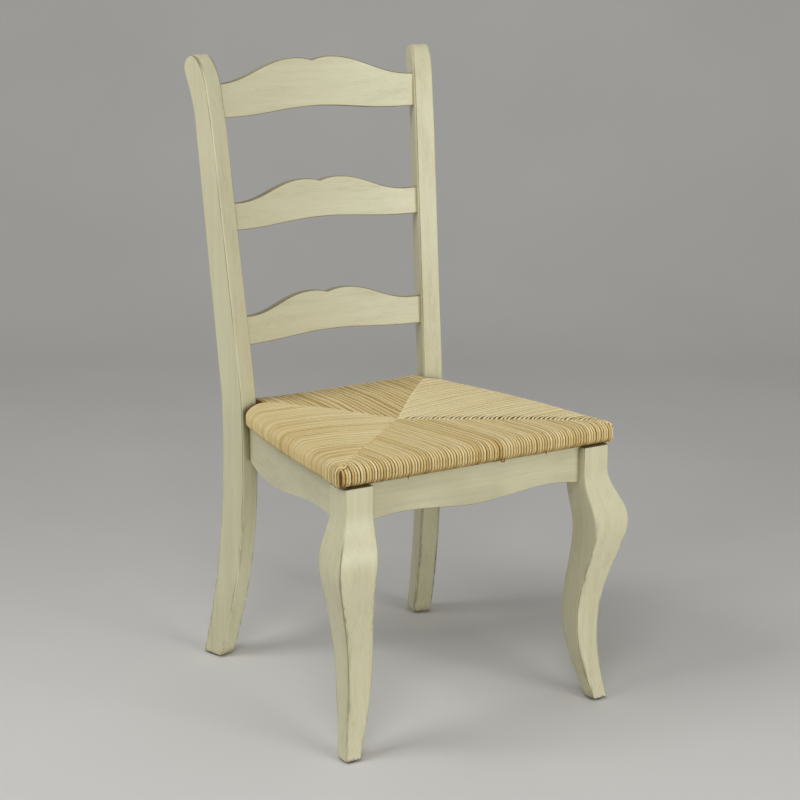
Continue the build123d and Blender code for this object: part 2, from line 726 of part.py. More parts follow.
# Rush, a dished slab that is divided at its seams into four panels
with BuildPart() as seat_slab:
    with BuildSketch(seat_plane):
        with BuildLine():
            Line((-seat_front_half, 0), (seat_front_half, 0))
            Line((-seat_rear_half, seat_depth), (seat_rear_half, seat_depth))
            for side in (-1, 1):
                swell_y = seat_side_length / 2
                swell_x = side_half(swell_y) + seat_side_bow
                side_corner = (side * seat_side_half, seat_side_length)
                notch_inside = (side * seat_notch_half, rear_rail_front)
                ThreePointArc((side * seat_front_half, 0), (side * swell_x, swell_y), side_corner)
                Polyline(side_corner, notch_inside, (side * seat_rear_half, seat_depth))
        make_face()
    extrude(amount=seat_thickness)
    upright_edges = seat_slab.edges().filter_by(Axis(seat_plane.origin, seat_plane.z_dir)).sort_by(Axis.Y)
    notch_edges = upright_edges[4:6]
    fillet(upright_edges - notch_edges, seat_corner_radius)
    fillet(seat_slab.faces().filter_by(seat_plane).sort_by(Axis.Z)[-1].edges(), seat_top_radius)
    fillet(seat_slab.faces().filter_by(seat_plane).sort_by(Axis.Z)[0].edges(), seat_bottom_radius)


def seam_point(corner, distance, height):
    """Place on the seam from a corner of the seat to its middle, at a distance from the corner."""
    along = (Vector(0, seat_centre) - Vector(*corner)).normalized()
    place = Vector(*corner) + along * distance
    return seat_point(place.X, place.Y, height)


def panel_planes(first, second):
    """Planes that bound a panel: its two seams, its top and its underside."""
    middle = seat_point(0, seat_centre, 0)
    seams = []
    for corner in (first, second):
        outward = seam_point(corner, 0, 0) - middle
        seams.append(Plane(middle, outward, seat_plane.z_dir.cross(outward)))
    slopes = []
    top_heights = (seat_thickness, seat_thickness - seat_dish)
    for edge_height, middle_height in (top_heights, (0, seat_underside_dish)):
        a = seam_point(first, seat_roll, edge_height)
        b = seam_point(second, seat_roll, edge_height)
        c = seat_point(0, seat_centre, middle_height)
        slopes.append(Plane(a, b - a, (b - a).cross(c - a)))
    return seams, slopes


stuffing_parts = {}
rush_parts = {}
for number, panel_name in enumerate(("front", "right", "rear", "left")):
    first = seat_corners[number]
    second = seat_corners[(number + 1) % len(seat_corners)]
    (first_seam, second_seam), (top_slope, under_slope) = panel_planes(first, second)
    with BuildPart() as stuffing:
        add(seat_slab.part)
        split(bisect_by=first_seam.offset(stuffing_gap / 2), keep=Keep.TOP)
        split(bisect_by=second_seam.offset(-stuffing_gap / 2), keep=Keep.BOTTOM)
        split(bisect_by=top_slope.offset(-rush_layer), keep=Keep.BOTTOM)
        split(bisect_by=under_slope.offset(rush_layer), keep=Keep.TOP)
        with BuildSketch(seat_plane):
            with BuildLine():
                Polyline(*stuffing_outline, close=True)
            make_face()
        extrude(amount=seat_thickness, mode=Mode.INTERSECT)
    stuffing_parts[f"stuffing_{panel_name}"] = stuffing
    with BuildPart() as rush:
        add(seat_slab.part)
        split(bisect_by=first_seam, keep=Keep.TOP)
        split(bisect_by=second_seam, keep=Keep.BOTTOM)
        split(bisect_by=top_slope, keep=Keep.BOTTOM)
        split(bisect_by=under_slope, keep=Keep.TOP)
        for rail in rails:
            add(rail, mode=Mode.SUBTRACT)
        add(seat_frame_dowels.part, mode=Mode.SUBTRACT)
        add(stuffing.part, mode=Mode.SUBTRACT)
        add(seat_screws.part, mode=Mode.SUBTRACT)
    rush_parts[f"rush_{panel_name}"] = rush

# Glides
glide_parts = {}
for foot, foot_place in foot_places.items():
    with BuildPart() as glide:
        with BuildSketch(Plane((*foot_place, 0))):
            Circle(glide_diameter / 2)
        extrude(amount=glide_height)
        fillet(glide.faces().sort_by(Axis.Z)[0].edges(), glide_edge_radius)
        add(glide_nails.part, mode=Mode.SUBTRACT)
    glide_parts[f"foot_glide_{foot}"] = glide

# One file for each piece
pieces = {
    "rear_post_left": rear_post_left,
    "rear_post_right": rear_post_right,
    **slat_parts,
    "front_leg_left": front_leg_left,
    "front_leg_right": front_leg_right,
    "front_apron": front_apron,
    "side_apron_left": side_apron_left,
    "side_apron_right": side_apron_right,
    "rear_apron": rear_apron,
    **block_parts,
    "corner_block_screws": corner_block_screws,
    "seat_front_rail": seat_front_rail,
    "seat_rear_rail": seat_rear_rail,
    "seat_side_rail_left": seat_side_rail_left,
    "seat_side_rail_right": seat_side_rail_right,
    "seat_frame_dowels": seat_frame_dowels,
    "seat_screws": seat_screws,
    **stuffing_parts,
    **rush_parts,
    **glide_parts,
    "glide_nails": glide_nails,
}
os.makedirs("parts", exist_ok=True)
for piece_name, piece in pieces.items():
    piece.part.label = piece_name
    export_step(piece.part, f"parts/{piece_name}.step")
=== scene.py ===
"""Looks of a side chair with a ladder back and a rush seat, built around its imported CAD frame.

Lengths are in metres. The chair stands on the floor at z = 0 and its front faces -Y.
"""

import math
import random

import bmesh
import bpy
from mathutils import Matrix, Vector, noise


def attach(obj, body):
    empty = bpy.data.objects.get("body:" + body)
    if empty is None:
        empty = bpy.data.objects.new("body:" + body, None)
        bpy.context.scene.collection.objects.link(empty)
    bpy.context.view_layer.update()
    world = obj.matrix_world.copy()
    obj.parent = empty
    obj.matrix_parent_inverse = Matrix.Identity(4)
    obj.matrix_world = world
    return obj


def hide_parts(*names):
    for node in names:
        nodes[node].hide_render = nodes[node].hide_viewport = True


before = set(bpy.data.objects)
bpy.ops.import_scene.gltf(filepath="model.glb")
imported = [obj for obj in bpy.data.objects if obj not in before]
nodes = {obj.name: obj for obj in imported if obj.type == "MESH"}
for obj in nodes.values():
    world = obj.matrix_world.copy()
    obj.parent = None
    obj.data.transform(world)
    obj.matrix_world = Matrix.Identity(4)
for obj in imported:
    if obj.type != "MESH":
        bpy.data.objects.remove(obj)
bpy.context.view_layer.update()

# Camera, at the photograph's viewing angle
CAMERA_PLACE = (-1.60064, -2.63506, 1.26504)
CAMERA_TARGET = (0.0, -0.01865, 0.4716)
CAMERA_LENS = 90.43  # millimetres, on a sensor 36 mm wide

# Floor, which sweeps up behind the chair
SWEEP_FRONT = -6.0
SWEEP_START = 2.2
SWEEP_RADIUS = 1.6
SWEEP_HEIGHT = 5.0
SWEEP_HALF_WIDTH = 6.0
SWEEP_STEPS = 24

# Soft light from all round
WORLD_COLOUR = (0.82, 0.82, 0.82, 1.0)
WORLD_STRENGTH = 0.30

# Rush seat, as in the CAD: across, back from the front edge and up from the underside
SEAT_SLOPE = math.radians(1.3)
SEAT_FRONT = -0.25855
SEAT_BOTTOM = 0.421
SEAT_THICKNESS = 0.036
SEAT_DEPTH = 0.46723
SEAT_FRONT_HALF = 0.2473
SEAT_SIDE_HALF = 0.19058  # at the front of the posts
SEAT_SIDE_LENGTH = 0.41163
SEAT_NOTCH_HALF = 0.15744  # inside the posts
SEAT_NOTCH_DEPTH = 0.4212
SEAT_BOW = 0.0085
SEAT_CORNER = 0.014
SEAT_REAR_CORNER = 0.022
SEAT_DISH = 0.010
SEAT_UNDERSIDE_DISH = 0.006
SEAT_ROLL = 0.080
DISH_EASING = 0.03
SEAM_CENTRE = Vector((-0.005, 0.240))  # the weave closes a little to the left of the middle

# Rush, as it is wound: rounder at the edge than the plain solid, and piled up at the posts
ROLL_TOP_REACH = 0.022
ROLL_TOP_DROP = 0.014
ROLL_BOTTOM_REACH = 0.026
ROLL_BOTTOM_RISE = 0.014
ROLL_STEPS = 8
CORNER_ROLL = (0.0145, 0.0105, 0.014, 0.008)  # the same four at the front end of a side
CORNER_ROLL_LENGTH = 0.075
SIDE_CROWN = 0.0025
POST_HEAP = 0.0035
POST_HEAP_REACH = 0.035

# Strands of rush
STRAND_PITCH = {"front": 0.0048, "right": 0.0048, "rear": 0.0042, "left": 0.0048}
STRAND_SIDES = 8
STRAND_STEP = 0.007
FIRST_STRAND_INSET = 0.0065  # from a front corner
LAST_STRAND_INSET = 0.001  # from a post
REAR_STRAND_SPREAD = 0.003  # past the inner faces of the posts
STRAND_SHIFT = 0.09  # at random, as a share of the pitch
STRAND_WIDTH_SPREAD = 0.06
STRAND_LIFT = 0.0003
STRAND_END_SPREAD = 0.001
LEAST_REACH = 0.004
WANDER = 0.0011  # of a strand to its sides
WANDER_SCALE = 25
WANDER_STEP = 3.7
WANDER_EASING = 0.6  # round the edge
STRAND_FLAT_HEIGHT = 0.0018  # half of a strand's height on the flat of the seat
STRAND_EDGE_HEIGHT = 0.0022
STRAND_EDGE_WIDTH = 0.00215  # half of its width round the edge
CORNER_NARROWING = 0.42  # of the strands at the front end of a side
CORNER_CONTRAST = 0.60  # between a strand and the next there
CORNER_PALING = 0.12
STRAND_FLAT_WIDTH = {"front": 0.0023, "right": 0.0022, "rear": 0.0018, "left": 0.0023}
# Tone of each panel. The right panel's is raised as painted light, for the light and sheen it catches
STRAND_TONE_AND_LIGHT = {"front": 0.55, "right": 0.86, "rear": 0.55, "left": 0.59}
STRAND_TONE_SPREAD = {"front": 0.08, "right": 0.09, "rear": 0.04, "left": 0.07}
STRAND_FADE = {"front": 0.0, "right": 0.18, "rear": 0.0, "left": 0.20}  # paler towards the seam
TONE_LIMITS = (0.1, 0.9)
# Every other strand, as a rule, is darker and narrower
PAIR_CHANGE = 0.85  # how often the next strand differs
PAIR_CONTRAST = {"front": 0.16, "right": 0.46, "rear": 0.30, "left": 0.20}
PAIR_NARROWING = {"front": 0.22, "right": 0.34, "rear": 0.40, "left": 0.24}
FADE_LENGTH = 0.20
FADE_MIDDLE = 0.4
EDGE_DARKENING = 0.12  # darker round the edge and below
POST_SHADOW = 0.75  # painted shadow on the rear strands nearest the left post
POST_SHADOW_STRANDS = 4

# Ends of the strands at a seam, where those of one panel lie over those of the next
SEAM_OVER = {"length": 0.018, "dive": 0.0006, "overlap": 0.0030, "taper": 0.84}
SEAM_CAP = {"length": 0.006, "dive": 0.0030, "overlap": 0.0060, "taper": 1.0}
SEAM_UNDER = {"length": 0.024, "dive": 0.0007, "overlap": 0.0180, "taper": 1.0}
SEAM_ENDS = {  # at the low and the high end of each panel
    "front": (SEAM_UNDER, SEAM_UNDER),
    "right": (SEAM_OVER, SEAM_CAP),
    "rear": (SEAM_OVER, SEAM_UNDER),
    "left": (SEAM_CAP, SEAM_UNDER),
}
SEAM_BEND = 0.0095  # of the right panel's strands towards the front as they end
SEAM_BEND_SHARE = 0.25  # of the distance from the front, at most

# Loose ends of rush: a curl at the front left corner and fibres below the front edge
CURL_RADIUS = 0.0048
CURL_INSET = 0.0125
CURL_STEPS = 14
CURL_TURN = (-60, 250)  # degrees, from its start to its end
CURL_LEAN = (0.55, 0.83)  # outward and up
CURL_SINK = 0.0008
CURL_TILT = 0.0017
CURL_END_SINK = 0.004
CURL_HALF_WIDTH = 0.0017
CURL_TONE = 0.48
FIBRE_PLACES = (0.033, 0.041, 0.117, -0.128)
FIBRE_LENGTH = 0.004
FIBRE_DROP = 0.0035
FIBRE_ROOT = (0.007, 0.006)  # back from the front edge and up
FIBRE_OUTWARD = 0.005
FIBRE_STEPS = 5
FIBRE_HALF_WIDTHS = (0.0015, 0.0008)  # at its root and at its end
FIBRE_TONE = 0.05

# Pads of broken rush, inside the rails
STUFFING_FRONT = Vector((0.172, 0.066))
STUFFING_REAR = Vector((0.1227, 0.4149))
STUFFING_DEPTH = 0.0062
STUFFING_ROUGHNESS = 0.0009
STUFFING_GRAIN = 160
STUFFING_REACH = 0.97  # of the way to the centre of the weave
STUFFING_COLUMNS, STUFFING_ROWS = 28, 20

SEED = 11


def srgb(red, green, blue):
    """Linear colour from values on a 0 to 255 scale."""
    def linear(value):
        share = value / 255
        return share / 12.92 if share <= 0.04045 else ((share + 0.055) / 1.055) ** 2.4

    return (linear(red), linear(green), linear(blue), 1.0)


# Materials
MIX_FIRST, MIX_SECOND, MIX_RESULT = 6, 7, 2  # the colour sockets of a Mix node


class Surface:
    """A material with a Principled shader, and short calls to add nodes to it."""

    def __init__(self, name):
        self.material = bpy.data.materials.new(name)
        self.material.use_nodes = True
        self.tree = self.material.node_tree
        self.shader = self.tree.nodes["Principled BSDF"]

    def put(self, socket, value):
        """Set a socket to a value, or link it to another socket."""
        if isinstance(value, bpy.types.NodeSocket):
            self.tree.links.new(value, socket)
        else:
            socket.default_value = value

    def add(self, kind, settings=None, **inputs):
        """Add a node. The inputs are its sockets, with _ for a space."""
        node = self.tree.nodes.new(kind)
        for key, value in (settings or {}).items():
            setattr(node, key, value)
        for key, value in inputs.items():
            self.put(node.inputs[key.replace("_", " ")], value)
        return node

    def math(self, operation, *values):
        node = self.add("ShaderNodeMath", {"operation": operation})
        for socket, value in zip(node.inputs, values):
            self.put(socket, value)
        return node.outputs["Value"]

    def ramp(self, factor, *stops):
        """Colour ramp through (position, colour) stops."""
        node = self.add("ShaderNodeValToRGB", Fac=factor)
        elements = node.color_ramp.elements
        while len(elements) < len(stops):
            elements.new(0.5)
        for element, (position, colour) in zip(elements, stops):
            element.position = position
            element.color = colour
        return node.outputs["Color"]

    def remap(self, value, low, high, to_low=0.0, to_high=1.0):
        """Take low to to_low and high to to_high, and keep to that range."""
        node = self.add("ShaderNodeMapRange", {"clamp": True}, Value=value)
        for name, number in (("From Min", low), ("From Max", high), ("To Min", to_low), ("To Max", to_high)):
            node.inputs[name].default_value = number
        return node.outputs["Result"]

    def mix(self, factor, first, second):
        """The first colour at a factor of 0 and the second at 1."""
        node = self.add("ShaderNodeMix", {"data_type": "RGBA"})
        self.put(node.inputs["Factor"], factor)
        self.put(node.inputs[MIX_FIRST], first)
        self.put(node.inputs[MIX_SECOND], second)
        return node.outputs[MIX_RESULT]

    def place(self, scale):
        """Object coordinates, stretched."""
        coordinates = self.add("ShaderNodeTexCoord").outputs["Object"]
        return self.add("ShaderNodeMapping", Vector=coordinates, Scale=scale).outputs["Vector"]

    def noise(self, vector, scale, detail=3.0, roughness=0.55):
        node = self.add("ShaderNodeTexNoise", Vector=vector, Scale=scale, Detail=detail, Roughness=roughness)
        return node.outputs["Fac"]

    def occlusion(self, distance, inside=False):
        """Share of the directions that are open, outward or, for edges, inward."""
        settings = {"samples": 10, "inside": inside, "only_local": inside}
        return self.add("ShaderNodeAmbientOcclusion", settings, Distance=distance).outputs["AO"]

    def bump(self, height, distance, strength=1.0):
        node = self.add("ShaderNodeBump", Height=height, Distance=distance, Strength=strength)
        self.put(self.shader.inputs["Normal"], node.outputs["Normal"])

    def shade(self, **inputs):
        for key, value in inputs.items():
            self.put(self.shader.inputs[key.replace("_", " ")], value)


def worn_arrises(surface, plain_place, specks, facing):
    """Share of paint that is rubbed off: in long thin runs, and more widely below the knees."""
    squareness = surface.math("MAXIMUM", surface.math("MAXIMUM", facing[0], facing[1]), facing[2])
    inside = surface.occlusion(0.005, inside=True)
    runs = surface.remap(surface.noise(plain_place, 5.0, 2.0, 0.5), 0.42, 0.54, 0.20, 1.0)
    height = surface.add("ShaderNodeSeparateXYZ", Vector=plain_place).outputs["Z"]
    low = surface.math("MULTIPLY", surface.remap(height, 0.325, 0.29), surface.remap(specks, 0.46, 0.62))
    thin_wear = surface.math("MULTIPLY", surface.remap(inside, 0.93, 0.87), runs)
    thin_wear = surface.math("MULTIPLY", thin_wear, surface.remap(squareness, 0.91, 0.79))
    wide_wear = surface.math("MULTIPLY", surface.remap(inside, 0.92, 0.85, 0.0, 0.8), low)
    wear = surface.math("MAXIMUM", thin_wear, wide_wear)
    return surface.math("MULTIPLY", wear, surface.remap(specks, 0.30, 0.50, 0.65, 1.0))


def painted_wood(name, grain, flank_shade=0.0, wash=0.0):
    """Cream paint brushed along the grain, rubbed off at the arrises, with brown glazing and painted shade in
    the joints.

    The faces that look up or down may be darkened as painted shade (flank shade), and more glaze may lie in
    patches all over (wash).
    """
    surface = Surface(name)
    along = [1.0 if axis != grain else 0.03 for axis in range(3)]
    streak_place = surface.place(along)
    plain_place = surface.place((1, 1, 1))
    fine = surface.noise(streak_place, 520.0, 4.0, 0.6)
    broad = surface.noise(streak_place, 90.0, 3.0, 0.5)
    cloud = surface.noise(plain_place, 9.0, 3.0, 0.5)
    streaks = surface.math("MULTIPLY_ADD", fine, 0.55, surface.math("MULTIPLY", broad, 0.45))
    streaks = surface.math("MULTIPLY_ADD", cloud, 0.24, surface.math("SUBTRACT", streaks, 0.12))
    paint = surface.ramp(
        streaks,
        (0.30, srgb(200, 195, 158)),
        (0.47, srgb(213, 209, 174)),
        (0.60, srgb(218, 214, 180)),
        (0.78, srgb(225, 222, 192)),
    )
    specks = surface.noise(streak_place, 150.0, 3.0, 0.65)
    normal = surface.add("ShaderNodeSeparateXYZ", Vector=surface.add("ShaderNodeTexCoord").outputs["Normal"])
    facing = [surface.math("ABSOLUTE", normal.outputs[axis]) for axis in ("X", "Y", "Z")]
    arris = worn_arrises(surface, plain_place, specks, facing)
    # Glaze stays in the joints. There the outward occlusion also darkens the paint as painted shade where
    # parts meet or come close, and a little glaze lies in the brush marks
    joint_glaze_and_shade = surface.remap(surface.occlusion(0.030), 0.66, 0.28)
    joint_glaze_and_shade = surface.math("MULTIPLY", joint_glaze_and_shade, surface.remap(specks, 0.25, 0.60, 0.45, 0.85))
    glaze_and_shade = surface.math("MAXIMUM", joint_glaze_and_shade, surface.remap(fine, 0.60, 0.80, 0.0, 0.10))
    if wash:
        patches = surface.math("MULTIPLY_ADD", cloud, 0.6, surface.math("MULTIPLY", broad, 0.4))
        glaze_and_shade = surface.math("MAXIMUM", glaze_and_shade, surface.remap(patches, 0.38, 0.62, 0.0, wash))
    if flank_shade:
        # Painted shade: faces that look up or down are darkened towards the glaze colour
        flank_shading = surface.remap(facing[2], 0.30, 0.60, 0.0, flank_shade)
        glaze_and_shade = surface.math("MAXIMUM", glaze_and_shade, flank_shading)
    coat = surface.mix(glaze_and_shade, paint, srgb(126, 110, 64))
    surface.shade(
        Base_Color=surface.mix(arris, coat, srgb(98, 78, 40)),
        Roughness=surface.math("MULTIPLY_ADD", arris, 0.3, surface.remap(streaks, 0.3, 0.75, 0.43, 0.30)),
    )
    surface.bump(surface.math("ADD", fine, broad), 0.0004, 0.18)
    return surface.material


def bare_wood(name, grain, light, dark):
    """Sawn wood without a finish."""
    surface = Surface(name)
    along = [1.0 if axis != grain else 0.06 for axis in range(3)]
    place = surface.place(along)
    rings = surface.noise(place, 60.0, 4.0, 0.6)
    pores = surface.noise(place, 900.0, 2.0, 0.5)
    grain_tone = surface.math("MULTIPLY_ADD", pores, 0.3, surface.math("MULTIPLY", rings, 0.7))
    surface.shade(
        Base_Color=surface.ramp(grain_tone, (0.3, dark), (0.68, light)),
        Roughness=surface.remap(grain_tone, 0.3, 0.7, 0.82, 0.66),
    )
    surface.bump(grain_tone, 0.0006, 0.4)
    return surface.material


def rush_strands(name):
    """Twisted rush: each strand has its own tone, fibres along it and a slow twist."""
    surface = Surface(name)
    strand = surface.add("ShaderNodeUVMap", {"uv_map": "strand"}).outputs["UV"]
    tone = surface.add("ShaderNodeAttribute", {"attribute_name": "tone"}).outputs["Fac"]
    along = surface.add("ShaderNodeMapping", Vector=strand, Scale=(3.0, 28.0, 1.0)).outputs["Vector"]
    blotches = surface.noise(along, 1.0, 4.0, 0.6)
    fibre_place = surface.add("ShaderNodeMapping", Vector=strand, Scale=(16.0, 22.0, 1.0)).outputs["Vector"]
    fibres = surface.noise(fibre_place, 1.0, 3.0, 0.6)
    turns = surface.add("ShaderNodeSeparateXYZ", Vector=strand)
    around = surface.math("MULTIPLY", turns.outputs["X"], 2.0)
    twist = surface.math("MULTIPLY_ADD", turns.outputs["Y"], 95.0, around)
    ply = surface.math("SINE", surface.math("MULTIPLY", twist, 2 * math.pi))
    colour_tone = surface.math("MULTIPLY_ADD", blotches, 0.34, surface.math("SUBTRACT", tone, 0.17))
    colour_tone = surface.math("MULTIPLY_ADD", fibres, 0.30, surface.math("SUBTRACT", colour_tone, 0.15))
    straw = surface.ramp(
        colour_tone,
        (0.00, srgb(92, 66, 26)),
        (0.10, srgb(164, 130, 64)),
        (0.32, srgb(210, 183, 117)),
        (0.52, srgb(230, 209, 152)),
        (0.74, srgb(244, 227, 176)),
        (0.95, srgb(252, 240, 194)),
    )
    # Painted shade: occluded places, in the grooves between strands, are darkened towards golden brown
    groove_shade = surface.remap(surface.occlusion(0.006), 0.80, 0.32, 0.0, 0.92)
    surface.shade(
        Base_Color=surface.mix(groove_shade, straw, srgb(158, 116, 30)),
        Roughness=surface.remap(fibres, 0.3, 0.7, 0.58, 0.44),
    )
    height = surface.math("MULTIPLY_ADD", ply, 0.5, surface.math("MULTIPLY", fibres, 1.2))
    surface.bump(height, 0.0004, 0.5)
    return surface.material


def shaded_packed_rush(name):
    """Broken rush, packed between the layers of the seat, kept dark as painted shade where it shows through
    the gaps between strands.
    """
    surface = Surface(name)
    shreds = surface.noise(surface.place((1.0, 0.15, 1.0)), 260.0, 5.0, 0.7)
    surface.shade(
        Base_Color=surface.ramp(shreds, (0.3, srgb(62, 45, 18)), (0.7, srgb(112, 86, 42))),
        Roughness=surface.remap(shreds, 0.3, 0.7, 0.95, 0.80),
    )
    surface.bump(shreds, 0.002, 0.8)
    return surface.material


def plated_steel(name):
    """Zinc plated screws and nails."""
    surface = Surface(name)
    stain = surface.noise(surface.place((1, 1, 1)), 420.0, 4.0, 0.6)
    surface.shade(
        Base_Color=surface.ramp(stain, (0.3, srgb(150, 147, 138)), (0.7, srgb(196, 194, 188))),
        Metallic=1.0,
        Roughness=surface.remap(stain, 0.3, 0.7, 0.45, 0.28),
    )
    surface.bump(stain, 0.0002, 0.3)
    return surface.material


def glide_nylon(name):
    """Dark nylon with scuffs."""
    surface = Surface(name)
    scuffs = surface.noise(surface.place((1, 1, 1)), 600.0, 4.0, 0.65)
    surface.shade(
        Base_Color=surface.ramp(scuffs, (0.35, srgb(38, 33, 27)), (0.75, srgb(74, 66, 55))),
        Roughness=surface.remap(scuffs, 0.3, 0.7, 0.45, 0.65),
    )
    surface.bump(scuffs, 0.0002, 0.4)
    return surface.material


def set_material(node_name, material):
    """Give a CAD node its material."""
    mesh = nodes[node_name].data
    mesh.materials.clear()
    mesh.materials.append(material)


ACROSS, ALONG, UPRIGHT = 0, 1, 2
paint = {axis: painted_wood(f"painted_wood_{axis}", axis) for axis in (ALONG, UPRIGHT)}
for node_name in ("rear_post_left", "rear_post_right", "front_leg_left", "front_leg_right"):
    set_material(node_name, paint[UPRIGHT])
apron_paint = painted_wood("painted_aprons", ACROSS, wash=0.34)
for node_name in ("front_apron", "rear_apron"):
    set_material(node_name, apron_paint)
slat_paint = painted_wood("painted_slats", ACROSS, flank_shade=0.55)
for node_name in ("top_slat", "middle_slat", "lower_slat"):
    set_material(node_name, slat_paint)
for node_name in ("side_apron_left", "side_apron_right"):
    set_material(node_name, paint[ALONG])

beech = {
    axis: bare_wood(f"beech_{axis}", axis, srgb(205, 170, 124), srgb(164, 124, 80))
    for axis in (ACROSS, ALONG)
}
# Kept dark as painted shade: the seat rails show only in the gaps between strands, where little light reaches
shaded_frame_wood = {
    axis: bare_wood(f"shaded_frame_wood_{axis}", axis, srgb(128, 94, 44), srgb(92, 66, 28))
    for axis in (ACROSS, ALONG)
}
for end in ("front", "rear"):
    for side in ("left", "right"):
        set_material(f"corner_block_{end}_{side}", beech[ACROSS])
for node_name in ("seat_front_rail", "seat_rear_rail"):
    set_material(node_name, shaded_frame_wood[ACROSS])
for node_name in ("seat_side_rail_left", "seat_side_rail_right", "seat_frame_dowels"):
    set_material(node_name, shaded_frame_wood[ALONG])
steel = plated_steel("plated_steel")
for node_name in ("corner_block_screws", "seat_screws", "glide_nails"):
    set_material(node_name, steel)
nylon = glide_nylon("glide_nylon")
for end in ("front", "rear"):
    for side in ("left", "right"):
        set_material(f"foot_glide_{end}_{side}", nylon)

# Rush seat
SEAT_BACK = Vector((0, math.cos(SEAT_SLOPE), -math.sin(SEAT_SLOPE)))
SEAT_UP = Vector((0, math.sin(SEAT_SLOPE), math.cos(SEAT_SLOPE)))


def seat_turn(flat, up):
    """World direction of one given flat on the seat and up from it."""
    return Vector((flat[0], 0, 0)) + SEAT_BACK * flat[1] + SEAT_UP * up


def seat_place(x, y, z):
    """World place of a point given across, back from the front edge and up from the underside."""
    return Vector((0, SEAT_FRONT, SEAT_BOTTOM)) + seat_turn((x, y), z)


def rounding(past, radius=SEAT_CORNER):
    """How far the outline draws in at a distance past the start of a rounded corner."""
    past = min(max(past, 0.0), radius * 0.98)
    return radius - math.sqrt(radius**2 - past**2)


def side_edge(y):
    """Half of the seat's width."""
    share = y / SEAT_SIDE_LENGTH
    straight = SEAT_FRONT_HALF + (SEAT_SIDE_HALF - SEAT_FRONT_HALF) * share
    swell = SEAT_BOW * (1 - (2 * share - 1) ** 2)
    corners = rounding(SEAT_CORNER - y) + rounding(y - SEAT_SIDE_LENGTH + SEAT_REAR_CORNER, SEAT_REAR_CORNER)
    return straight + swell - corners


def front_edge(x):
    """The seat's outline in front."""
    return rounding(abs(x) - (SEAT_FRONT_HALF - SEAT_CORNER))


def rear_edge(x):
    """The seat's outline behind, between the posts."""
    return SEAT_DEPTH - rounding(abs(x) - (SEAT_NOTCH_HALF - SEAT_CORNER / 2))


SEAT_CORNERS = [
    Vector((-SEAT_FRONT_HALF, 0)),
    Vector((SEAT_FRONT_HALF, 0)),
    Vector((SEAT_NOTCH_HALF, SEAT_NOTCH_DEPTH)),
    Vector((-SEAT_NOTCH_HALF, SEAT_NOTCH_DEPTH)),
]
ROLL_CORNERS = [corner + (SEAM_CENTRE - corner).normalized() * SEAT_ROLL for corner in SEAT_CORNERS]
PANELS = ("front", "right", "rear", "left")


def blend(first, second, share):
    """First at a share of 0 and second at 1."""
    return first + (second - first) * share


